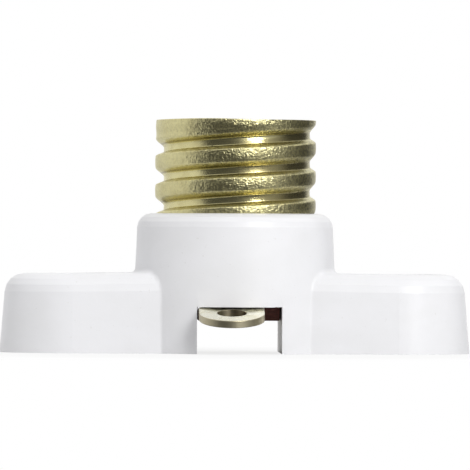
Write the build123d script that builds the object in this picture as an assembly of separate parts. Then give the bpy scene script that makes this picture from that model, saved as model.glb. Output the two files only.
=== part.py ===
from build123d import *
from math import ceil, cos, pi, radians, sin, tan
import os

# Miniature lamp holder in millimetres, +Z up along the lamp axis.
# Origin: middle of the underside, on the lamp axis. +X runs along the foot.
# The solder tag of the shell comes out on the -Y side, the contact's tag on +Y.

# Moulded base: long foot with round ends, and a round hub standing on it
FOOT_LENGTH = 29.55
FOOT_HALF_WIDTH = 4.6
FOOT_HEIGHT = 5.13
FOOT_FALL = 0.95  # degrees that the foot's top falls toward each end
FOOT_DRAFT = 4.5
FOOT_EDGE = 1.25
HUB_RADIUS = 6.5  # at the underside
HUB_DRAFT = 2.5
HUB_HEIGHT = 8.75
HUB_EDGE = 0.9
CORNER_BLEND = 0.3  # hollow corner all round where the hub meets the foot
EDGE_BANDS = 4  # flat bands that stand for a rolled edge or a dome

# Space for the shell, floor under it and wiring channel below the floor
FLOOR_TOP = 4.75
CHANNEL_ROOF = 3.3
CHANNEL_LEFT = -2.45
CHANNEL_RIGHT = 2.85
MOUTH_TOP = 2.91  # the channel's mouths are a little lower than its roof
MOUTH_EDGE = 0.28
MOUTH_LIP = 0.6  # how far the lip over each mouth reaches in from the hub's face

# Hollow underside and fixing holes of the foot
WALL = 1.35
POCKET_START = 4.4
POCKET_ROOF = 3.6
FIXING_X = 10.5
FIXING_HOLE_R = 1.6
FIXING_HEAD_R = 2.5
FIXING_BOSS_R = 2.55

# Threaded shell for the E10 lamp cap: fourteen turns to the inch
PITCH = 25.4 / 14
SHEET = 0.23
SHELL_CREST_R = 5.04
SHELL_ROOT_R = 4.5
SHELL_TOP = 14.76
CREST_Z = 11.985  # height at which a crest passes over -X
CREST_WIDTH = 0.62
UPPER_FLANK = 0.36
LOWER_FLANK = 0.58
SHOULDER_HEIGHT = 0.2  # rounding between the lower flank and the crest
SHOULDER_DEPTH = 0.12
RIDGE_SINK = 0.1  # how far the ridge is rooted in the plug that it stands on
RIDGE_TURNS = 2.5  # length of ridge that one ring of the wall is cut from
SEAM_TURN = -40  # degrees from the crest to the plug's seam, clear of the ridge's ends
NECK_TOP = 6.9  # below this the shell's wall is plain
NECK_EASE = 0.03  # how much narrower the neck is than the thread's root
RUN_IN = 1.2
NECK_RUN = 0.3  # thread of full depth at the top of the cup, under the first whole ring
SHELL_PLAY = 0.12  # radial room between the shell and the hub's bore

# Solder tags of sheet metal
TAG_SHEET = 0.45
TAG_WIDTH = 4.08
TAG_REACH = 9.0
TAG_TILT = 15.6
TAG_HOLE_R = 0.91
TAG_BEND = 0.35  # centre-line radius
SHELL_TAG_DROP = 0.2  # from the channel's roof down to the bend of the shell's tag
SHELL_TAG_X = -0.3
CONTACT_TAG_X = -0.1
LEG_Y = -4.05
LEG_ROOM = 0.15  # room in front of and behind the leg in its slot
PAD_R = 3.2
PLAY = 0.08  # room round parts that drop into the moulding

# Insulators and the rivet that clamps the stack
CLEAR_HOLE_R = 1.75  # hole in the shell's floor and in its tag
FLANGE_R = 3.2
FLANGE_THICK = 0.6
PLATE_THICK = 0.8
PLATE_FRONT = -3.4
PLATE_REAR = 3.9
PLATE_LEFT = -2.35
PLATE_RIGHT = 2.75
PLATE_ROOM = 0.25  # from the plate's rear edge to the bend of the contact's tag
SHANK_R = 1.0
SHANK_PLAY = 0.03
CONTACT_R = 2.1
CONTACT_RISE = 0.8
CLINCH_R = 1.5
CONTACT_EDGE = 0.2  # height of the straight rim under the dome
CLINCH_THICK = 0.3
CLINCH_EDGE = 0.25  # how far the clinch tapers in toward its foot

CUT_PAST = 1.0  # how far a cut runs past the surface that it opens
JOIN_TOLERANCE = 0.001  # between the rings of the shell's wall

# Heights that follow from the others
THREAD_START = NECK_TOP + RUN_IN + NECK_RUN
SHELL_FLOOR_TOP = FLOOR_TOP + SHEET
PAD_BOTTOM = FLOOR_TOP - TAG_SHEET
FLANGE_TOP = SHELL_FLOOR_TOP + FLANGE_THICK
CONTACT_PAD_BOTTOM = CHANNEL_ROOF - TAG_SHEET
PLATE_BOTTOM = CONTACT_PAD_BOTTOM - PLATE_THICK
CLINCH_BOTTOM = PLATE_BOTTOM - CLINCH_THICK
BORE_R = SHELL_CREST_R + SHELL_PLAY


def rod(radius, low, high, x=0.0, y=0.0):
    return Pos(x, y, low) * Cylinder(
        radius, high - low, align=(Align.CENTER, Align.CENTER, Align.MIN)
    )


def block(x0, x1, y0, y1, z0, z1):
    size = Box(x1 - x0, y1 - y0, z1 - z0, align=(Align.MIN, Align.MIN, Align.MIN))
    return Pos(x0, y0, z0) * size


def moulded_side(half_width, draft, height, roll):
    """Points up a drafted side and over its rolled top edge."""
    lean = radians(draft)
    centre_x = half_width - (height - roll) * tan(lean) - roll / cos(lean)
    centre_z = height - roll
    points = [(half_width, 0)]
    for band in range(EDGE_BANDS + 1):
        turn = lean + (pi / 2 - lean) * band / EDGE_BANDS
        points.append((centre_x + roll * cos(turn), centre_z + roll * sin(turn)))
    return points


def half_foot():
    """Right half of the foot: straight part with a falling top, and its round end."""
    centre = FOOT_LENGTH / 2 - FOOT_HALF_WIDTH
    sections = []
    for x in (0, centre):
        height = FOOT_HEIGHT - x * tan(radians(FOOT_FALL))
        side = moulded_side(FOOT_HALF_WIDTH, FOOT_DRAFT, height, FOOT_EDGE)
        other = [(-y, z) for y, z in reversed(side)]
        sections.append(Plane.YZ.offset(x) * make_face(Polyline(*side, *other, close=True)))
    straight = loft([section.face() for section in sections], ruled=True)
    quarter = make_face(Plane.XZ * Polyline((0, 0), *side, (0, height), close=True))
    end = Rot(0, 0, -90) * revolve(quarter, Axis.Z, revolution_arc=180)
    return straight + Pos(centre, 0, 0) * end


def hub():
    """Round hub from the underside up to its rolled top edge."""
    side = moulded_side(HUB_RADIUS, HUB_DRAFT, HUB_HEIGHT, HUB_EDGE)
    return revolve(
        make_face(Plane.XZ * Polyline((0, 0), *side, (0, HUB_HEIGHT), close=True)), Axis.Z
    )


def pocket():
    """Hollow under the right half of the foot, round its fixing boss."""
    half = FOOT_HALF_WIDTH - WALL
    plan = SlotOverall(FOOT_LENGTH - 2 * WALL, 2 * half)
    room = extrude(plan, amount=POCKET_ROOF, taper=FOOT_DRAFT)
    room = room & block(POCKET_START, FOOT_LENGTH, -half, half, 0, POCKET_ROOF)
    boss = rod(FIXING_BOSS_R, 0, POCKET_ROOF, FIXING_X)
    return room - boss


def fixing_hole():
    """Screw hole with a countersink for the screw's head."""
    depth = FIXING_HEAD_R - FIXING_HOLE_R
    top = FOOT_HEIGHT - FIXING_X * tan(radians(FOOT_FALL))
    sink = Pos(FIXING_X, 0, top - depth / 2) * Cone(FIXING_HOLE_R, FIXING_HEAD_R, depth)
    mouth = rod(FIXING_HEAD_R, top, top + CUT_PAST, FIXING_X)
    return rod(FIXING_HOLE_R, 0, top, FIXING_X) + sink + mouth


def channel():
    """Wiring channel from front to rear, with a lower rounded mouth at each side."""
    reach = HUB_RADIUS - MOUTH_LIP
    inner = block(CHANNEL_LEFT, CHANNEL_RIGHT, -reach, reach, 0, CHANNEL_ROOF)
    width = CHANNEL_RIGHT - CHANNEL_LEFT
    mouth = block(
        CHANNEL_LEFT, CHANNEL_RIGHT, -HUB_RADIUS, HUB_RADIUS, -CUT_PAST, MOUTH_TOP
    )
    upper = mouth.edges().filter_by(Axis.Y).sort_by(Axis.Z)[-2:]
    return inner + fillet(upper, min(MOUTH_EDGE, width / 4))


def base_moulding():
    right = half_foot()
    foot = right + mirror(right, Plane.YZ)
    body = foot + hub()
    joins = new_edges(foot, hub(), combined=body)
    body = fillet([e for e in joins if e.center().Z > CORNER_BLEND], CORNER_BLEND)
    body = body - pocket() - mirror(pocket(), Plane.YZ)
    body = body - fixing_hole() - mirror(fixing_hole(), Plane.YZ)
    body = body - rod(BORE_R, FLOOR_TOP, HUB_HEIGHT + CUT_PAST) - channel()
    body = body - rod(PAD_R + PLAY, PAD_BOTTOM, FLOOR_TOP + PLAY)
    half = TAG_WIDTH / 2 + PLAY
    leg_front = LEG_Y - TAG_SHEET / 2 - LEG_ROOM
    left = SHELL_TAG_X - half
    body = body - block(left, left + 2 * half, leg_front, 0, PAD_BOTTOM, FLOOR_TOP + PLAY)
    leg_back = LEG_Y + TAG_SHEET / 2 + LEG_ROOM
    body = body - block(left, left + 2 * half, leg_front, leg_back, 0, FLOOR_TOP)
    return body - rod(SHANK_R + SHANK_PLAY, 0, FLOOR_TOP)


def crest_turn(height):
    """Degrees from +X at which the thread's crest passes a height."""
    return (180 + (height - CREST_Z) / PITCH * 360) % 360


def seam_clear(plug):
    """Turns a round plug so that its seam stays clear of the ridge's ends."""
    return Rot(0, 0, crest_turn(THREAD_START) + SEAM_TURN) * plug


def ridge(inset, middle):
    """Right-hand ridge round a height; its crest passes over -X at CREST_Z."""
    crest = SHELL_CREST_R - inset
    depth = SHELL_CREST_R - SHELL_ROOT_R
    half = (CREST_WIDTH - inset / 2) / 2
    slope = (depth + RIDGE_SINK) / depth
    foot = crest - depth - RIDGE_SINK
    shoulder = [] if inset else [(crest - SHOULDER_DEPTH, -half - SHOULDER_HEIGHT)]
    outline = [
        (foot, -half - LOWER_FLANK * slope),
        *shoulder,
        (crest, -half),
        (crest, half),
        (foot, half + UPPER_FLANK * slope),
    ]
    profile = make_face(Plane.XZ * Polyline(*outline, close=True))
    path = Helix(PITCH, RIDGE_TURNS * PITCH, crest - depth)
    start = middle - RIDGE_TURNS * PITCH / 2
    turned = Rot(0, 0, crest_turn(start)) * sweep(profile, path, is_frenet=True)
    return Pos(0, 0, start) * turned


def threaded_plug(inset, low, high):
    """Plug with the thread on it, cut level; inset from the shell's outer face."""
    plug = seam_clear(rod(SHELL_ROOT_R - inset, low - PITCH, high + PITCH))
    return plug + ridge(inset, high - PITCH / 2)


def cup_blank(inset, floor, bend, high):
    """Cup's form: bent floor edge, plain neck and the cone on which the thread runs in."""
    neck = SHELL_ROOT_R - inset - NECK_EASE
    wide = SHELL_CREST_R - inset + RIDGE_SINK
    outline = [
        (0, floor),
        (neck - bend, floor),
        (neck, floor + bend),
        (neck, NECK_TOP),
        (wide, NECK_TOP + RUN_IN),
        (wide, high),
        (0, high),
    ]
    return seam_clear(revolve(make_face(Plane.XZ * Polyline(*outline, close=True)), Axis.Z))


def shell_cup():
    """Lower part of the shell with its floor, neck and the start of the thread."""
    low = FLOOR_TOP + PITCH
    high = THREAD_START
    outer = threaded_plug(0, low, high) & cup_blank(0, FLOOR_TOP, 2 * SHEET, high)
    inner = threaded_plug(SHEET, low, high) & cup_blank(SHEET, SHELL_FLOOR_TOP, SHEET, high)
    return outer - inner - rod(CLEAR_HOLE_R, FLOOR_TOP, SHELL_FLOOR_TOP)


def shell_ring(low, high):
    """Ring of the threaded wall between two heights."""
    slab = seam_clear(rod(SHELL_CREST_R + RIDGE_SINK, low, high))
    return (threaded_plug(0, low, high) & slab) - (threaded_plug(SHEET, low, high) & slab)


def screw_shell():
    """Drawn cup with the thread rolled through its wall, cut off level at the top."""
    ring = shell_ring(THREAD_START, THREAD_START + PITCH)
    turns = ceil((SHELL_TOP - THREAD_START) / PITCH)
    rings = [Pos(0, 0, turn * PITCH) * ring for turn in range(turns)]
    kept = seam_clear(rod(SHELL_CREST_R + CUT_PAST, THREAD_START, SHELL_TOP))
    rings[-1] = rings[-1] & kept
    return shell_cup().fuse(*rings, glue=True, tol=JOIN_TOLERANCE)


def strip(points, x):
    """Sheet bent along a side-on line, cut to the tag's width and round end."""
    line = FilletPolyline(*points, radius=TAG_BEND)
    side = Plane.YZ * trace(line, TAG_SHEET)
    solid = extrude(side.face(), amount=TAG_WIDTH / 2, both=True)
    return Pos(x, 0, 0) * solid


def tag_end(x, way):
    """Outline of a tag seen from above: rounded tip, straight sides."""
    half = TAG_WIDTH / 2
    centre = way * (TAG_REACH - half)
    shape = Pos(x, centre) * Circle(half) + Pos(x, centre / 2) * Rectangle(
        2 * half, TAG_REACH - half
    )
    hole = Pos(x, centre) * Circle(TAG_HOLE_R)
    return extrude(shape - hole, amount=FLOOR_TOP)


def slope_run(y_start):
    """Level distance from a bend out to a point past the tip."""
    return TAG_REACH + CUT_PAST - abs(y_start)


def shell_tag():
    """Tag joined under the shell's floor, down a slot and out at the front."""
    middle = FLOOR_TOP - TAG_SHEET / 2
    bend_z = CHANNEL_ROOF - SHELL_TAG_DROP
    run = slope_run(LEG_Y)
    end = (LEG_Y - run, bend_z - run * tan(radians(TAG_TILT)))
    sheet = strip([(0, middle), (LEG_Y, middle), (LEG_Y, bend_z), end], SHELL_TAG_X)
    sheet = sheet & tag_end(SHELL_TAG_X, -1)
    pad = rod(PAD_R, PAD_BOTTOM, FLOOR_TOP)
    return sheet + pad - rod(CLEAR_HOLE_R, 0, FLOOR_TOP)


def contact_tag():
    """Tag held up against the channel's roof by the rivet, out at the rear."""
    middle = CHANNEL_ROOF - TAG_SHEET / 2
    bend_y = PLATE_REAR + PLATE_ROOM
    run = slope_run(bend_y)
    end = (bend_y + run, middle - run * tan(radians(TAG_TILT)))
    start = (-TAG_WIDTH / 2, middle)
    sheet = strip([start, (bend_y, middle), end], CONTACT_TAG_X)
    half = TAG_WIDTH / 2
    plan = tag_end(CONTACT_TAG_X, 1) + rod(half, 0, FLOOR_TOP, CONTACT_TAG_X)
    return (sheet & plan) - rod(SHANK_R + SHANK_PLAY, 0, FLOOR_TOP)


def bottom_insulator():
    plate = block(
        PLATE_LEFT, PLATE_RIGHT, PLATE_FRONT, PLATE_REAR, PLATE_BOTTOM, CONTACT_PAD_BOTTOM
    )
    return plate - rod(SHANK_R + SHANK_PLAY, 0, FLOOR_TOP)


def shell_insulator():
    """Washer under the contact, with a collar through the shell's floor."""
    flange = rod(FLANGE_R, SHELL_FLOOR_TOP, FLANGE_TOP)
    collar = rod(CLEAR_HOLE_R - SHANK_PLAY, PAD_BOTTOM, SHELL_FLOOR_TOP)
    return flange + collar - rod(SHANK_R + SHANK_PLAY, 0, FLANGE_TOP)


def contact_rivet():
    """Rivet with a domed head for the lamp's tip and a clinched foot."""
    rim = FLANGE_TOP + CONTACT_EDGE
    dome = []
    for band in range(EDGE_BANDS):
        turn = pi / 2 * band / EDGE_BANDS
        rise = (CONTACT_RISE - CONTACT_EDGE) * sin(turn)
        dome.append((CONTACT_R * cos(turn), rim + rise))
    outline = [
        (0, CLINCH_BOTTOM),
        (CLINCH_R - CLINCH_EDGE, CLINCH_BOTTOM),
        (CLINCH_R, PLATE_BOTTOM),
        (SHANK_R, PLATE_BOTTOM),
        (SHANK_R, FLANGE_TOP),
        (CONTACT_R, FLANGE_TOP),
        *dome,
        (0, FLANGE_TOP + CONTACT_RISE),
    ]
    return revolve(make_face(Plane.XZ * Polyline(*outline, close=True)), Axis.Z)


os.makedirs("parts", exist_ok=True)
export_step(base_moulding(), "parts/base_moulding.step")
export_step(screw_shell(), "parts/screw_shell.step")
export_step(shell_tag(), "parts/shell_tag.step")
export_step(contact_tag(), "parts/contact_tag.step")
export_step(bottom_insulator(), "parts/bottom_insulator.step")
export_step(shell_insulator(), "parts/shell_insulator.step")
export_step(contact_rivet(), "parts/contact_rivet.step")
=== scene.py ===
"""Looks of a miniature lamp holder: white moulded base, brass thread shell, solder tags."""

from math import cos, pi, radians, sin, tan

import bmesh
import bpy
import numpy as np
from bpy.props import FloatProperty, FloatVectorProperty, IntProperty, PointerProperty
from mathutils import Matrix, Vector


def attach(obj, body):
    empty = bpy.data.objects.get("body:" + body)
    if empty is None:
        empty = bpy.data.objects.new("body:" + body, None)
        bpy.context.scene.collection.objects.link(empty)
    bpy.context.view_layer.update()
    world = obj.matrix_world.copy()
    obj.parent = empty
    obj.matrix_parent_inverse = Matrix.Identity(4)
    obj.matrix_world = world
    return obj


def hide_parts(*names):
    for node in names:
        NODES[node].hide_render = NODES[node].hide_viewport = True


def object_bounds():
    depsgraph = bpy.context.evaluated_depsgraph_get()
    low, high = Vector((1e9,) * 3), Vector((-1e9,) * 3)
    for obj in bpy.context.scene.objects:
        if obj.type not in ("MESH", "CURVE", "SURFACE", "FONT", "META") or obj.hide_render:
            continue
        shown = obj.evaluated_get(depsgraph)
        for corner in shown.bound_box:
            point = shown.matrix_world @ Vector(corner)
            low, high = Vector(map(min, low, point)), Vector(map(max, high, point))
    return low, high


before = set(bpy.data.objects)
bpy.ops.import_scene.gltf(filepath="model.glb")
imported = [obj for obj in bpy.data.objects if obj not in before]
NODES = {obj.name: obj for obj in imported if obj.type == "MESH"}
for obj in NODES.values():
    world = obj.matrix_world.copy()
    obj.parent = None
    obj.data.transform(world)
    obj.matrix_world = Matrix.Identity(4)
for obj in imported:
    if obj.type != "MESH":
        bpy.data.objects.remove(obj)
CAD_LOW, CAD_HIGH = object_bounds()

bl_info = {
    "name": "Miniature lamp holder",
    "version": (1, 0, 0),
    "blender": (4, 5, 0),
    "location": "3D View > Sidebar > Lamp Holder",
    "description": "Dresses the lamp holder's solids and sets its studio",
    "category": "Object",
}

MM = 0.001

# Folds of a copied mesh: flatter ones are merged away, sharper ones keep a crease
FLAT_FOLD = radians(0.6)
SHEET_FOLD = radians(32)
SHELL_FOLD = radians(40)
WELD = 0.001 * MM

# Thread of this one shell, which isn't quite the same all round
RIGHT_CREST = 0.86  # crest's width on the right, as a share of the left's
RIGHT_UPPER_FLANK = 1.2  # upper flank on the right, as a share of the left's
FRONT_LOWER_FLANK = 0.7  # lower flank in front and behind, as a share of the sides'
FRONT_BULGE = 0.09 * MM  # how much lower the crest reaches in front and behind
RUN_IN = 1.2 * MM  # height over which the thread rises out of the neck
LEFT_FLARE = 0.45  # how much taller the flare under the rim is on the left
FLARE_EASE = 0.75  # share of the flare over which it opens
SHIFT_POWER = 1.5  # how closely the right side's wider form keeps to the right
WAIST_DROP = 0.85 * MM  # from the rim down to the waist under it
WAIST_HEIGHT = 0.32 * MM
WAIST_LEFT = 0.07 * MM  # depth of the waist on the left
WAIST_FRONT = 0.08 * MM  # and in front and behind
ROUND_LEVEL = 0.4  # share of the rounding that is taken off all over

# Cut edge of the shell: directions are turned from the right end, by way of the rear
RIM_EASE = 0.03 * MM  # how far its two corners are taken off
RIM_HIGH_AT = radians(248)
RIM_SLOPE = 0.32  # how much of the fall is one slope across the rim
RIM_RIPPLE = 0.12  # how much of it is three waves round the rim
RIM_DIP_AT = radians(284)
RIM_DIP_SPREAD = radians(22)
BURR_AT = radians(300)
BURR_SPREAD = radians(26)

LIP_STEPS = 24  # facets round the lip over a mouth
TAG_BEND_Y = 6 * MM  # how far in front of the axis the front tag starts to rise
TAG_EYE_Y = 6.96  # middle of the tags' eyes, in millimetres as the shaders read it
TAG_EYE_X = -0.2  # between the middles of the two tags

# Edges of the room's walls, in degrees from the camera round to the right
LEFT_WALL_END = (-62.0, -54.0)
WINDOW_START = (32.0, 42.0)
WINDOW_END = (60.0, 88.0)
BACK_WALL_START = (138.0, 156.0)
BACK_WALL_END = (-172.0, -150.0)
CEILING_EDGE = (18.0, 48.0)  # degrees above the floor
CEILING_FADE = (-0.9, 0.3)  # from the camera's side to behind the object
CEILING_FRONT = 0.6  # brightness of the ceiling over the camera, as a share

FLOOR_REACH = 30.0  # half a side of the floor, in metres
SHADOW_FADE = (14 * MM, 30 * MM)  # where the floor turns from paper to plain white
PAPER = (0.78, 0.78, 0.78, 1.0)  # the floor where it takes the shadow


class Value:
    """A shader socket on which Python's operators add Math nodes."""

    def __init__(self, shader, socket):
        self.shader = shader
        self.socket = socket

    def math(self, operation, *others):
        values = dict(enumerate((self, *others)))
        return self.shader.node("ShaderNodeMath", {"operation": operation}, values)

    def swapped(self, operation, other):
        values = {0: other, 1: self}
        return self.shader.node("ShaderNodeMath", {"operation": operation}, values)

    def __add__(self, other):
        return self.math("ADD", other)

    def __sub__(self, other):
        return self.math("SUBTRACT", other)

    def __mul__(self, other):
        return self.math("MULTIPLY", other)

    def __radd__(self, other):
        return self.swapped("ADD", other)

    def __rsub__(self, other):
        return self.swapped("SUBTRACT", other)

    def __rmul__(self, other):
        return self.swapped("MULTIPLY", other)

    def __neg__(self):
        return self.math("MULTIPLY", -1.0)


class Shader:
    """A node tree that is written as expressions."""

    def __init__(self, tree):
        self.tree = tree
        tree.nodes.clear()

    def node(self, kind, settings=None, values=None, output=0):
        """Adds a node: its settings first, then the values or links of its sockets."""
        node = self.tree.nodes.new(kind)
        for name, setting in (settings or {}).items():
            setattr(node, name, setting)
        for key, value in (values or {}).items():
            if isinstance(value, Value):
                self.tree.links.new(value.socket, node.inputs[key])
            else:
                node.inputs[key].default_value = value
        return Value(self, node.outputs[output]) if node.outputs else None

    def place(self, stretch=(1.0, 1.0, 1.0)):
        """Place on the part in millimetres, each axis stretched as asked."""
        here = self.node("ShaderNodeTexCoord", output="Object")
        scale = tuple(s / MM for s in stretch)
        return self.node("ShaderNodeVectorMath", {"operation": "MULTIPLY"}, {0: here, 1: scale})

    def parts(self, vector):
        """The three parts of a vector."""
        split = self.node("ShaderNodeSeparateXYZ", values={0: vector}).socket.node
        return [Value(self, out) for out in split.outputs]

    def ray(self, kind):
        """1 for rays of a kind and 0 for others."""
        return self.node("ShaderNodeLightPath", output="Is " + kind + " Ray")

    def noise(self, where, scale, detail=2.0, roughness=0.5, twist=0.0):
        """Noise from 0 to 1 with so many blots per unit of the place."""
        return self.node(
            "ShaderNodeTexNoise",
            {"noise_dimensions": "3D"},
            {
                "Vector": where,
                "Scale": scale,
                "Detail": detail,
                "Roughness": roughness,
                "Distortion": twist,
            },
        )

    def ease(self, value, low, high, start=0.0, end=1.0):
        """Smooth step of a value between two limits."""
        return self.node(
            "ShaderNodeMapRange",
            {"interpolation_type": "SMOOTHSTEP"},
            {0: value, 1: low, 2: high, 3: start, 4: end},
        )

    def blend(self, factor, first, second):
        """Mixes two colours."""
        pair = [c if isinstance(c, Value) else (*c, 1.0) for c in (first, second)]
        return self.node(
            "ShaderNodeMix", {"data_type": "RGBA"}, {0: factor, 6: pair[0], 7: pair[1]}, 2
        )

    def bump(self, height, depth, under=None):
        """Relief of a height from 0 to 1 over a depth in metres."""
        values = {"Strength": 1.0, "Distance": depth, "Height": height}
        if under is not None:
            values["Normal"] = under
        return self.node("ShaderNodeBump", values=values)

    def surface(self, **sockets):
        """Ends the tree in one shader with these sockets."""
        values = {name.replace("_", " "): value for name, value in sockets.items()}
        shader = self.node("ShaderNodeBsdfPrincipled", values=values)
        self.node("ShaderNodeOutputMaterial", values={"Surface": shader})


def distance(x, y):
    """Length of a line with these two parts, as a shader value."""
    return (x * x + y * y).math("SQRT")


def new_shader(name):
    material = bpy.data.materials.new(name)
    material.use_nodes = True
    return material, Shader(material.node_tree)


def moulded_plastic(look):
    """White moulding: faint cloudiness, a soft orange peel and slow sink marks."""
    material, s = new_shader("white_moulding")
    here = s.place()
    clouds = s.noise(here, 0.32, detail=3.0, roughness=0.55)
    flow = s.noise(s.place((0.25, 0.8, 0.8)), 0.7, twist=0.6)
    tint = s.ease(clouds * 0.6 + flow * 0.4, 0.38, 0.66)
    colour = s.blend(tint * 0.5, look.plastic, look.plastic_shade)
    specks = s.ease(s.noise(here, 5.5, detail=1.0, roughness=0.4), 0.74, 0.8)
    colour = s.blend(specks * 0.25, colour, look.plastic_speck)
    sheen = look.plastic_roughness + (s.noise(here, 0.9) - 0.5) * 0.1 + specks * 0.1
    sinks = s.noise(s.place((0.5, 0.7, 0.8)), 0.42, roughness=0.45)
    peel = s.bump(s.noise(here, 3.4), look.plastic_peel, s.bump(sinks, look.plastic_wave))
    s.surface(
        Base_Color=colour, Roughness=sheen, Normal=peel, IOR=1.5, Specular_IOR_Level=0.5
    )
    return material


def shell_brass(look, sizes):
    """Bare brass: grainy where the sheet was stretched over the crests."""
    material, s = new_shader("shell_brass")
    here = s.place()
    x, y, _ = s.parts(here)
    radius = distance(x, y)
    root = sizes.root_radius / MM
    crest = s.ease(radius, root + 0.05, root + 0.32)
    # Band at the foot of each flank, darkened in colour below: partly patina in the roots'
    # corners, partly painted shade in those corners
    corner = s.ease(radius, root + 0.01, root + 0.06) - s.ease(radius, root + 0.1, root + 0.2)
    fine = s.noise(here, look.grain_scale, roughness=0.55, twist=0.25)
    coarse = s.noise(here, look.grain_scale * 0.5, detail=1.0)
    speckle = s.ease(s.noise(here, look.grain_scale * 0.8, detail=1.0), 0.36, 0.64)
    draw = s.noise(s.place((0.35, 0.35, 9.0)), 1.6, detail=3.0, roughness=0.6)
    dull = s.ease(s.noise(here, 0.55, detail=4.0, roughness=0.6, twist=0.5), 0.42, 0.68)
    pits = s.ease(s.noise(here, 4.2), 0.66, 0.74)

    # Painted light: the dark grain colour is laid on weakly on the left, where the crests reflect
    # the pale wall, so that side reads lighter; the grain itself is the brass's own
    grain_painted_lighter_left = 0.2 + s.ease(x, -3.2, -2.4) * 0.45
    colour = s.blend(dull * 0.55, look.brass, look.brass_dull)
    colour = s.blend(speckle * crest * grain_painted_lighter_left, colour, look.brass_grain)
    colour = s.blend(pits * 0.35 * crest, colour, look.brass_pit)
    # Partly patina, partly painted shade in the roots' corners
    colour = s.blend(corner * 0.6, colour, look.brass_corner_patina_and_shade)
    rough = look.root_roughness + crest * (look.crest_roughness - look.root_roughness)
    rough = rough + dull * 0.06 + (draw - 0.5) * 0.08 + pits * crest * 0.12
    grain = (fine * 0.65 + coarse * 0.35) * (0.1 + crest * 0.9)
    normal = s.bump(grain, look.grain_depth, s.bump(draw, look.draw_depth))
    s.surface(Base_Color=colour, Metallic=1.0, Roughness=rough, Normal=normal)
    return material


def tag_brass(look):
    """Bright tinned brass sheet: rolling lines, small dents, darker sheared edges and painted
    shade in the eyes.
    """
    material, s = new_shader("tag_brass")
    here = s.place()
    x, y, _ = s.parts(here)
    rolled = s.noise(s.place((7.0, 0.5, 0.5)), 1.5, detail=3.0, roughness=0.6)
    dents = s.noise(here, 2.1, detail=3.0, roughness=0.55)
    stain = s.ease(s.noise(here, 0.9, detail=4.0, roughness=0.6, twist=0.8), 0.46, 0.72)
    up = s.parts(s.node("ShaderNodeNewGeometry", output="True Normal"))[2].math("ABSOLUTE")
    cut = 1.0 - s.ease(up, 0.55, 0.85)
    # Painted shade: the walls of the eyes are coloured near black over the cut edge's own colour,
    # standing in for the shade inside the holes
    from_eye = distance(x - TAG_EYE_X, y.math("ABSOLUTE") - TAG_EYE_Y)
    eye = 1.0 - s.ease(from_eye, 0.88, 1.08)

    colour = s.blend(stain * 0.6, look.tag, look.tag_stain)
    colour = s.blend(cut * 0.75, colour, look.tag_cut)
    colour = s.blend(eye * cut * 0.75, colour, look.tag_eye_shade)
    rough = look.tag_roughness + stain * 0.12 + cut * 0.14 + (rolled - 0.5) * 0.08
    shear = s.noise(s.place((9.0, 9.0, 0.7)), 1.4, roughness=0.6) * cut
    lines = s.bump(rolled * 0.4 + shear, look.tag_line_depth)
    normal = s.bump(dents, look.tag_dent_depth, lines)
    s.surface(Base_Color=colour, Metallic=1.0, Roughness=rough, Normal=normal)
    return material


def fibre_board(look):
    """Dark red-brown vulcanised fibre: matted, with darker blots."""
    material, s = new_shader("red_fibre")
    here = s.place()
    mat = s.noise(s.place((1.0, 2.4, 5.0)), 3.2, detail=4.0, roughness=0.65, twist=0.9)
    blot = s.ease(s.noise(here, 0.8, detail=3.0, roughness=0.6), 0.45, 0.75)
    colour = s.blend(s.ease(mat, 0.35, 0.7), look.fibre, look.fibre_light)
    colour = s.blend(blot * 0.5, colour, look.fibre_dark)
    rough = 0.6 + mat * 0.25
    s.surface(Base_Color=colour, Roughness=rough, Normal=s.bump(mat, look.fibre_depth))
    return material


def rivet_brass(look):
    """Turned brass: fine rings round the axis and a rubbed crown."""
    material, s = new_shader("rivet_brass")
    here = s.place()
    x, y, _ = s.parts(here)
    radius = distance(x, y)
    rings = (radius * 46.0).math("SINE") * 0.5 + 0.5
    cloud = s.noise(here, 1.8, detail=3.0, roughness=0.6)
    colour = s.blend(s.ease(cloud, 0.4, 0.75) * 0.6, look.brass, look.brass_dull)
    rubbed = 1.0 - s.ease(radius, 0.25, 0.8)
    rough = 0.3 + cloud * 0.12 - rubbed * 0.12
    normal = s.bump(cloud, look.rivet_dent_depth, s.bump(rings, look.rivet_ring_depth))
    s.surface(Base_Color=colour, Metallic=1.0, Roughness=rough, Normal=normal)
    return material


def link(name, data):
    """Puts a mesh, lamp or camera into the scene."""
    piece = bpy.data.objects.new(name, data)
    bpy.context.scene.collection.objects.link(piece)
    return piece


def give(piece, material):
    piece.data.materials.clear()
    piece.data.materials.append(material)


def eased_copy(node, name, edge, lift=None):
    """Copy of a CAD node's mesh with its sharp edges rolled over by a small radius."""
    mesh = bpy.data.meshes.new(name)
    form = bmesh.new()
    form.from_mesh(NODES[node].data)
    bmesh.ops.remove_doubles(form, verts=form.verts, dist=WELD)
    bmesh.ops.dissolve_limit(form, angle_limit=FLAT_FOLD, verts=form.verts, edges=form.edges)
    if lift:
        for corner in form.verts:
            corner.co.z += lift(corner.co)
    form.to_mesh(mesh)
    form.free()
    piece = link(name, mesh)
    bevel = piece.modifiers.new("rolled_edges", "BEVEL")
    bevel.width = edge
    bevel.segments = 3
    bevel.limit_method = "ANGLE"
    bevel.angle_limit = SHEET_FOLD
    mesh.shade_smooth()
    mesh.set_sharp_from_angle(angle=SHEET_FOLD)
    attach(piece, "root")
    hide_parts(node)
    return piece


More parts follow.
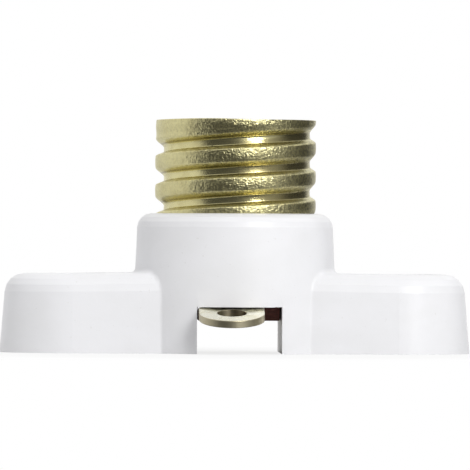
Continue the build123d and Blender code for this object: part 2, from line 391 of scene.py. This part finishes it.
def bent_block(name, radii, heights, ends, draft):
    """Closed sector of a ring with a drafted outer face, between two directions."""
    inner, outer = radii
    low, high = heights
    outline = (
        (inner, low),
        (outer - low * tan(draft), low),
        (outer - high * tan(draft), high),
        (inner, high),
    )
    form = bmesh.new()
    rows = []
    for turn in np.linspace(*ends, LIP_STEPS + 1):
        across, along = cos(turn), sin(turn)
        rows.append([form.verts.new((across * r, along * r, height)) for r, height in outline])
    for first, second in zip(rows, rows[1:]):
        for side in range(4):
            after = (side + 1) % 4
            form.faces.new((first[side], first[after], second[after], second[side]))
    form.faces.new(rows[0][::-1])
    form.faces.new(rows[-1])
    bmesh.ops.recalc_face_normals(form, faces=form.faces)
    mesh = bpy.data.meshes.new(name)
    form.to_mesh(mesh)
    form.free()
    return link(name, mesh)


def join(piece, others):
    """Makes one mesh of a piece and the blocks that close its gaps."""
    with bpy.context.temp_override(
        active_object=piece, object=piece, selected_editable_objects=[piece, *others]
    ):
        if bpy.ops.object.join() != {"FINISHED"}:
            raise RuntimeError("The blocks were not joined to " + piece.name)


def smooth_step(t):
    t = np.clip(t, 0.0, 1.0)
    return t * t * (3.0 - 2.0 * t)


def between(start, end, part):
    return start + (end - start) * part


def swell(turn, middle, spread):
    """1 at one direction, falling to 0 on both sides of it."""
    where = np.mod(turn - middle + pi, 2 * pi) - pi
    return np.exp(-((where / spread) ** 2))


def thread_rise(sizes, turn, height, crest_width, rim):
    """How far the wall stands out, 0 at a root and 1 at a crest."""
    pitch = sizes.pitch
    left = 0.5 - 0.5 * np.cos(turn)
    side = np.abs(2.0 * left - 1.0)
    up = np.mod(height - sizes.crest_height - (turn - pi) / (2 * pi) * pitch, pitch)
    half = crest_width / 2 * between(RIGHT_CREST, 1.0, left)
    upper = sizes.upper_flank * between(RIGHT_UPPER_FLANK, 1.0, left)
    lower = sizes.lower_flank * between(FRONT_LOWER_FLANK, 1.0, side)
    below = half + FRONT_BULGE * (1.0 - side)
    leaving = 1.0 - smooth_step((up - half) / upper)
    coming = smooth_step((up - (pitch - below - lower)) / lower)
    run_in = smooth_step((height - sizes.neck_height) / RUN_IN)
    flare_start = rim - sizes.flare * (1.0 + LEFT_FLARE * left)
    flare = smooth_step((height - flare_start) / (FLARE_EASE * sizes.flare))
    return np.maximum(np.maximum(leaving, coming) * run_in, flare)


def rim_height(sizes, turn):
    """Height of the cut edge, a little uneven round the shell."""
    slope = RIM_SLOPE * np.cos(turn - RIM_HIGH_AT)
    wave = 0.5 + slope + RIM_RIPPLE * np.sin(3 * turn + 0.7)
    dip = swell(turn, RIM_DIP_AT, RIM_DIP_SPREAD)
    fall = sizes.rim_fall * (1.0 - np.clip(wave, 0.0, 1.0)) + sizes.rim_dip * dip
    return CAD_HIGH.z - sizes.rim_drop - fall


def burr_reach(sizes, turn):
    """Thin lip that the cutter pushed outward at the front right of the rim."""
    ragged = 0.55 + 0.45 * np.sin(turn * 61.0) * np.sin(turn * 23.0 + 1.3)
    return sizes.burr * swell(turn, BURR_AT, BURR_SPREAD) * ragged


def shell_grid(sizes):
    """Rings of points: floor, neck, thread outside, cut edge, thread inside, floor."""
    turn = np.linspace(0.0, 2 * pi, sizes.sides, endpoint=False)
    left = 0.5 - 0.5 * np.cos(turn)
    right = (1.0 - left) ** SHIFT_POWER
    top = rim_height(sizes, turn)
    waist_reach = WAIST_LEFT * left**2 + WAIST_FRONT * np.abs(np.sin(turn))
    rings = []

    def ring(radius, height):
        rings.append((np.broadcast_to(radius, turn.shape), np.broadcast_to(height, turn.shape)))

    def fold(radius, bottom, reach, parts):
        for part in parts:
            bent = part * pi / 2
            ring(radius - reach + reach * sin(bent), bottom + reach - reach * cos(bent))

    def wall(root, crest_width, part, ease):
        height = between(sizes.neck_height, top - ease, part)
        shallow = sizes.root_shift * right
        depth = sizes.crest_radius + sizes.crest_shift * right - sizes.root_radius - shallow
        rise = thread_rise(sizes, turn, height, crest_width, top)
        waist = waist_reach * np.exp(-(((top - height - WAIST_DROP) / WAIST_HEIGHT) ** 2))
        phase = (height - sizes.crest_height) / sizes.pitch * 2 * pi - turn + pi
        round_off = sizes.rounding * (np.cos(phase) - ROUND_LEVEL)
        return root + shallow + depth * rise - waist + round_off, height

    sheet = sizes.sheet
    floor = sizes.floor_height
    root = sizes.root_radius
    bend = 2 * sheet
    outside = (root, sizes.crest_width)
    inside = (root - sheet, sizes.crest_width - sheet / 2)
    ring(sizes.hole_radius, floor)
    ring(root - bend, floor)
    fold(root, floor, bend, [step / 6 for step in range(1, 6)])
    ring(root, floor + bend)
    for part in np.linspace(0.0, 1.0, sizes.outer_rows):
        ring(*wall(*outside, part, RIM_EASE))
    ring(wall(*outside, 1.0, 0.0)[0] - RIM_EASE + burr_reach(sizes, turn), top)
    ring(wall(*inside, 1.0, 0.0)[0] + RIM_EASE, top)
    for part in np.linspace(1.0, 0.0, sizes.inner_rows):
        ring(*wall(*inside, part, RIM_EASE))
    ring(root - sheet, floor + sheet + bend / 2)
    fold(root - sheet, floor + sheet, bend / 2, [1.0 - step / 5 for step in range(1, 5)])
    ring(root - sheet - bend / 2, floor + sheet)
    ring(sizes.hole_radius, floor + sheet)
    return turn, rings


def closed_tube(name, turn, rings):
    """Mesh through rings of points that close on themselves both ways."""
    radius = np.array([r for r, _ in rings])
    height = np.array([h for _, h in rings])
    rows, sides = radius.shape
    points = np.stack([radius * np.cos(turn), radius * np.sin(turn), height], axis=2)
    row, side = np.meshgrid(np.arange(rows), np.arange(sides), indexing="ij")
    next_row = (row + 1) % rows
    next_side = (side + 1) % sides
    quads = np.stack(
        [
            row * sides + side,
            row * sides + next_side,
            next_row * sides + next_side,
            next_row * sides + side,
        ],
        axis=2,
    )
    mesh = bpy.data.meshes.new(name)
    mesh.from_pydata(points.reshape(-1, 3).tolist(), [], quads.reshape(-1, 4).tolist())
    mesh.validate()
    mesh.shade_smooth()
    mesh.set_sharp_from_angle(angle=SHELL_FOLD)
    return mesh


def length(name, description, millimetres):
    return FloatProperty(
        name=name,
        description=description,
        default=millimetres * MM,
        subtype="DISTANCE",
        unit="LENGTH",
        precision=5,
    )


def angle(name, description, degrees):
    return FloatProperty(
        name=name, description=description, default=radians(degrees), subtype="ANGLE"
    )


def share(name, description, default):
    return FloatProperty(
        name=name, description=description, default=default, min=0.0, max=1.0, subtype="FACTOR"
    )


def paint(name, description, default):
    return FloatVectorProperty(
        name=name,
        description=description,
        default=default,
        min=0.0,
        max=1.0,
        size=3,
        subtype="COLOR",
    )


def count(name, description, default, least):
    return IntProperty(name=name, description=description, default=default, min=least)


class BaseSizes(bpy.types.PropertyGroup):
    """Sizes of the lips that close the corners over the wiring channel's mouths."""

    hub_radius: length("Hub radius", "Radius of the hub at the underside", 6.5)
    hub_draft: angle("Hub draft", "Slope of the hub's side", 2.5)
    lip_half_angle: angle("Lip half angle", "Half the angle of the lip over a mouth", 30)
    lip_sink: length("Lip sink", "How far the lip lies under the hub's face", 0.02)
    lip_inside: length("Lip inside", "Inner radius of the lip over a mouth", 6.05)
    lip_bottom: length("Lip bottom", "Height of the lip's underside", 2.93)
    lip_top: length("Lip top", "Height of the lip's top inside the hub", 3.45)


class ShellSizes(bpy.types.PropertyGroup):
    """Sizes of the threaded shell."""

    pitch: length("Pitch", "Height of one turn of the thread", 25.4 / 14)
    crest_radius: length("Crest radius", "Outside radius over the crests", 5.02)
    root_radius: length("Root radius", "Outside radius in the roots", 4.54)
    crest_shift: length("Crest shift", "How much wider the crests are on the right", 0.03)
    root_shift: length("Root shift", "How much shallower the roots are on the right", 0.19)
    rounding: length("Rounding", "Softening of the whole profile", 0.035)
    crest_height: length("Crest height", "Height of a crest on the left side", 11.985)
    crest_width: length("Crest width", "Height of the crest's plain band", 0.7)
    upper_flank: length("Upper flank", "Height of the flank above a crest", 0.26)
    lower_flank: length("Lower flank", "Height of the flank below a crest", 0.6)
    flare: length("Flare", "Height of the flared band under the rim", 0.6)
    neck_height: length("Neck height", "Height at which the thread starts", 6.9)
    floor_height: length("Floor height", "Underside of the shell's floor", 4.75)
    hole_radius: length("Hole radius", "Radius of the hole in the floor", 1.75)
    sheet: length("Sheet", "Thickness of the sheet", 0.23)
    rim_drop: length("Rim drop", "Least depth of the cut edge under the solid's top", 0.08)
    rim_fall: length("Rim fall", "Unevenness of the cut edge", 0.13)
    rim_dip: length("Rim dip", "Depth of the low place at the front right", 0.045)
    burr: length("Burr", "Reach of the lip that the cutter left", 0.05)
    sides: count("Sides", "Points round the shell", 256, 24)
    outer_rows: count("Outer rows", "Rows up the outside", 160, 20)
    inner_rows: count("Inner rows", "Rows up the inside", 110, 20)


class Finishes(bpy.types.PropertyGroup):
    """Colours and surface of each material."""

    plastic: paint("Plastic", "Colour of the moulding", (0.86, 0.86, 0.88))
    plastic_shade: paint("Plastic shade", "Colour of its cloudy places", (0.81, 0.81, 0.82))
    plastic_speck: paint("Plastic speck", "Colour of its specks", (0.62, 0.61, 0.58))
    plastic_roughness: share("Plastic roughness", "Roughness of the moulding", 0.38)
    plastic_wave: length("Plastic wave", "Depth of the slow sink marks", 0.05)
    plastic_peel: length("Plastic peel", "Depth of the orange peel", 0.004)
    brass: paint("Brass", "Colour of clean brass", (0.79, 0.73, 0.39))
    brass_dull: paint("Dull brass", "Colour of tarnished brass", (0.62, 0.55, 0.27))
    brass_grain: paint("Brass grain", "Colour between the grains", (0.36, 0.33, 0.19))
    brass_pit: paint("Brass pit", "Colour of the pits", (0.3, 0.23, 0.1))
    # Partly patina, partly painted shade in the roots' corners
    brass_corner_patina_and_shade: paint("Brass corner", "Colour of the roots' corners", (0.24, 0.19, 0.08))
    crest_roughness: share("Crest roughness", "Roughness of the thread's crests", 0.3)
    root_roughness: share("Root roughness", "Roughness of the thread's roots", 0.24)
    grain_scale: FloatProperty(
        name="Grain scale", description="Grains per millimetre on the crests", default=9.0, min=0.1
    )
    grain_depth: length("Grain depth", "Depth of the grain on the crests", 0.055)
    draw_depth: length("Draw depth", "Depth of the drawing lines round the shell", 0.003)
    tag: paint("Tag", "Colour of the bright tag", (0.95, 0.93, 0.78))
    tag_stain: paint("Tag stain", "Colour of the tag's stained places", (0.80, 0.75, 0.52))
    tag_cut: paint("Tag cut", "Colour of the tag's sheared edge", (0.38, 0.32, 0.18))
    # Painted shade inside the tags' eyes
    tag_eye_shade: paint("Tag eye", "Colour of the wall of the tag's eye", (0.13, 0.10, 0.07))
    tag_roughness: share("Tag roughness", "Roughness of the tags", 0.24)
    tag_edge: length("Tag edge", "Radius of the tags' rolled edges", 0.045)
    tag_dent_depth: length("Tag dents", "Depth of the dents in the tags", 0.012)
    tag_line_depth: length("Tag lines", "Depth of the rolling and shear lines", 0.004)
    tag_rise: angle("Tag rise", "How far the front tag is bent up", 3)
    fibre: paint("Fibre", "Colour of the red fibre", (0.09, 0.024, 0.017))
    fibre_light: paint("Light fibre", "Colour of its lighter strands", (0.17, 0.055, 0.038))
    fibre_dark: paint("Dark fibre", "Colour of its blots", (0.07, 0.022, 0.016))
    fibre_edge: length("Fibre edge", "Radius of the fibre's edges", 0.05)
    fibre_depth: length("Fibre depth", "Depth of the fibre's strands", 0.02)
    rivet_dent_depth: length("Rivet dents", "Depth of the dents in the rivet", 0.01)
    rivet_ring_depth: length("Rivet rings", "Depth of the turned rings", 0.0022)


class Studio(bpy.types.PropertyGroup):
    """Camera, lamp and surroundings."""

    distance: length("Distance", "Camera's distance", 450.0)
    camera_height: length("Camera height", "Camera's height over the floor", 7.4)
    lens: FloatProperty(
        name="Lens", description="Focal length in millimetres", default=548.0, unit="CAMERA"
    )
    yaw: angle("Yaw", "How far the left end is turned nearer", 1.1)
    roll: angle("Roll", "Tilt of the picture", 0.25)
    key_side: angle("Key side", "Lamp's angle to the right", 29)
    key_rise: angle("Key rise", "Lamp's angle above the floor", 29)
    key_distance: length("Key distance", "Lamp's distance", 500.0)
    key_aim: length("Key aim", "Height that the lamp points at", 6.0)
    key_width: length("Key width", "Lamp's width", 120.0)
    key_tall: length("Key height", "Lamp's height", 320.0)
    key_power: FloatProperty(
        name="Key power", description="Lamp's power in watts", default=1.42, min=0.0, unit="POWER"
    )
    dark: share("Dark", "Brightness of the room behind the camera", 0.065)
    left: share("Left", "Brightness of the wall on the left", 0.8)
    right: share("Right", "Brightness of the room on the right", 0.07)
    window: share("Window", "Brightness of the window in front on the right", 0.42)
    above: share("Above", "Brightness of the ceiling", 1.0)
    floor_gap: length("Floor gap", "Gap between the underside and the floor", 0.01)
    floor_white: share("Floor white", "Share of plain white in the floor by the object", 0.8)
    floor_mirror: share("Floor mirror", "Brightness of the floor as metal shows it", 0.9)


class DressBase(bpy.types.Operator):
    """Closes the corners over the base's mouths and gives it its plastic"""

    bl_idname = "lamp_holder.dress_base"
    bl_label = "Dress Base"

    def execute(self, context):
        base = context.scene.holder_base
        piece = link("white_base", NODES["base_moulding"].data.copy())
        radii = (base.lip_inside, base.hub_radius - base.lip_sink)
        heights = (base.lip_bottom, base.lip_top)
        half = base.lip_half_angle
        lips = []
        for middle in (-pi / 2, pi / 2):
            ends = (middle - half, middle + half)
            lips.append(bent_block("lip", radii, heights, ends, base.hub_draft))
        join(piece, lips)
        give(piece, moulded_plastic(context.scene.holder_looks))
        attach(piece, "root")
        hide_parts("base_moulding")
        return {"FINISHED"}


class MakeShell(bpy.types.Operator):
    """Forms the threaded shell from fine rings"""

    bl_idname = "lamp_holder.make_shell"
    bl_label = "Make Shell"

    def execute(self, context):
        sizes = context.scene.holder_shell
        turn, rings = shell_grid(sizes)
        piece = link("formed_shell", closed_tube("formed_shell", turn, rings))
        give(piece, shell_brass(context.scene.holder_looks, sizes))
        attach(piece, "root")
        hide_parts("screw_shell")
        return {"FINISHED"}


class MakeTags(bpy.types.Operator):
    """Rolls the edges of both solder tags, bends the front one up and tins them"""

    bl_idname = "lamp_holder.make_tags"
    bl_label = "Make Tags"

    def execute(self, context):
        looks = context.scene.holder_looks
        material = tag_brass(looks)
        slope = tan(looks.tag_rise)

        def lift(place):
            return max(0.0, -place.y - TAG_BEND_Y) * slope

        for node, bend in (("shell_tag", lift), ("contact_tag", None)):
            piece = eased_copy(node, "sheared_" + node, looks.tag_edge, bend)
            give(piece, material)
        return {"FINISHED"}


class MakeInsulators(bpy.types.Operator):
    """Rounds the edges of the fibre plate and washer"""

    bl_idname = "lamp_holder.make_insulators"
    bl_label = "Make Insulators"

    def execute(self, context):
        looks = context.scene.holder_looks
        material = fibre_board(looks)
        for node in ("bottom_insulator", "shell_insulator"):
            piece = eased_copy(node, "fibre_" + node, looks.fibre_edge)
            give(piece, material)
        return {"FINISHED"}


class MakeRivet(bpy.types.Operator):
    """Finishes the central rivet"""

    bl_idname = "lamp_holder.make_rivet"
    bl_label = "Make Rivet"

    def execute(self, context):
        looks = context.scene.holder_looks
        piece = eased_copy("contact_rivet", "turned_rivet", looks.tag_edge)
        give(piece, rivet_brass(looks))
        return {"FINISHED"}


def room_level(s, x, y, studio):
    """Brightness of the room by direction, from the camera round to the right."""
    side = x.math("ARCTAN2", -y) * (180 / pi)
    level = s.ease(side, *LEFT_WALL_END, studio.left, studio.dark)
    level = level + s.ease(side, *WINDOW_START, 0.0, studio.window - studio.dark)
    level = level + s.ease(side, *WINDOW_END, 0.0, studio.right - studio.window)
    level = level + s.ease(side, *BACK_WALL_START, 0.0, 1.0 - studio.right)
    return level + s.ease(side, *BACK_WALL_END, 1.0 - studio.left, 0.0)


def pale_floor(studio):
    """White floor that keeps a soft share of the shadow near the object."""
    material, s = new_shader("pale_floor")
    direct = s.ray("Camera")
    mirrored = s.ray("Glossy").math("MAXIMUM", s.ray("Transmission"))
    x, y, _ = s.parts(s.node("ShaderNodeTexCoord", output="Object"))
    level = direct + mirrored * room_level(s, x, y, studio) * studio.floor_mirror
    away = s.ease(distance(x, y), *SHADOW_FADE, studio.floor_white, 1.0)
    paper = s.node("ShaderNodeBsdfDiffuse", values={"Color": PAPER})
    white = s.node("ShaderNodeEmission", values={"Color": level, "Strength": 1.0})
    factor = direct.math("MAXIMUM", mirrored) * away
    mixed = s.node("ShaderNodeMixShader", values={0: factor, 1: paper, 2: white})
    s.node("ShaderNodeOutputMaterial", values={"Surface": mixed})
    return material


def room(studio):
    """Pale walls on the left and behind, a dim room in front with a window, a pale ceiling."""
    world = bpy.data.worlds.new("room")
    world.use_nodes = True
    bpy.context.scene.world = world
    s = Shader(world.node_tree)
    x, y, z = s.parts(s.node("ShaderNodeTexCoord", output="Generated"))
    level = room_level(s, x, y, studio)
    high = s.ease(z.math("ARCSINE") * (180 / pi), *CEILING_EDGE)
    ceiling = s.ease(y, *CEILING_FADE, studio.above * CEILING_FRONT, studio.above)
    level = level * (1.0 - high) + high * ceiling
    camera = s.ray("Camera")
    level = level * (1.0 - camera) + camera
    glow = s.node("ShaderNodeBackground", values={"Color": level, "Strength": 1.0})
    s.node("ShaderNodeOutputWorld", values={"Surface": glow})


def from_axis(turn, rise, reach):
    """Place at an angle to the right of the front, an angle above the floor and a distance."""
    level = cos(rise) * reach
    return Vector((sin(turn) * level, -cos(turn) * level, sin(rise) * reach))


def aim(piece, place, target):
    turn = (Vector(target) - place).to_track_quat("-Z", "Y").to_matrix().to_4x4()
    piece.matrix_world = Matrix.Translation(place) @ turn


class MakeStage(bpy.types.Operator):
    """Sets the floor, room, lamp and camera"""

    bl_idname = "lamp_holder.make_stage"
    bl_label = "Make Stage"

    def execute(self, context):
        studio = context.scene.holder_studio
        form = bmesh.new()
        bmesh.ops.create_grid(form, x_segments=2, y_segments=2, size=FLOOR_REACH)
        mesh = bpy.data.meshes.new("floor")
        form.to_mesh(mesh)
        form.free()
        floor = link("floor", mesh)
        floor.location.z = CAD_LOW.z - studio.floor_gap
        give(floor, pale_floor(studio))
        room(studio)

        lamp = bpy.data.lights.new("key", "AREA")
        lamp.shape = "ELLIPSE"
        lamp.size = studio.key_width
        lamp.size_y = studio.key_tall
        lamp.energy = studio.key_power
        place = from_axis(studio.key_side, studio.key_rise, studio.key_distance)
        aim(link("key", lamp), place, (0.0, 0.0, studio.key_aim))

        lens = bpy.data.cameras.new("camera")
        lens.lens = studio.lens
        camera = link("camera", lens)
        place = from_axis(-studio.yaw, 0.0, studio.distance)
        place.z = studio.camera_height
        aim(camera, place, (0.0, 0.0, studio.camera_height))
        camera.matrix_world = camera.matrix_world @ Matrix.Rotation(studio.roll, 4, "Z")
        context.scene.camera = camera
        context.scene.view_settings.view_transform = "Standard"
        return {"FINISHED"}


class HolderPanel(bpy.types.Panel):
    """Lists the steps that dress the lamp holder"""

    bl_idname = "VIEW3D_PT_lamp_holder"
    bl_label = "Lamp Holder"
    bl_space_type = "VIEW_3D"
    bl_region_type = "UI"
    bl_category = "Lamp Holder"

    def draw(self, context):
        for name, kind in GROUPS.items():
            box = self.layout.box()
            for field in kind.__annotations__:
                box.prop(getattr(context.scene, name), field)
        for step in STEPS:
            self.layout.operator(step.bl_idname)


STEPS = (MakeStage, DressBase, MakeShell, MakeTags, MakeInsulators, MakeRivet)
GROUPS = {
    "holder_base": BaseSizes,
    "holder_shell": ShellSizes,
    "holder_looks": Finishes,
    "holder_studio": Studio,
}


def register():
    for kind in (*GROUPS.values(), *STEPS, HolderPanel):
        bpy.utils.register_class(kind)
    for name, kind in GROUPS.items():
        setattr(bpy.types.Scene, name, PointerProperty(type=kind))


def unregister():
    for name in GROUPS:
        delattr(bpy.types.Scene, name)
    for kind in reversed((*GROUPS.values(), *STEPS, HolderPanel)):
        bpy.utils.unregister_class(kind)


def main():
    register()
    bpy.ops.lamp_holder.make_stage()
    bpy.ops.lamp_holder.dress_base()
    bpy.ops.lamp_holder.make_shell()
    bpy.ops.lamp_holder.make_tags()
    bpy.ops.lamp_holder.make_insulators()
    bpy.ops.lamp_holder.make_rivet()


if __name__ == "__main__":
    main()
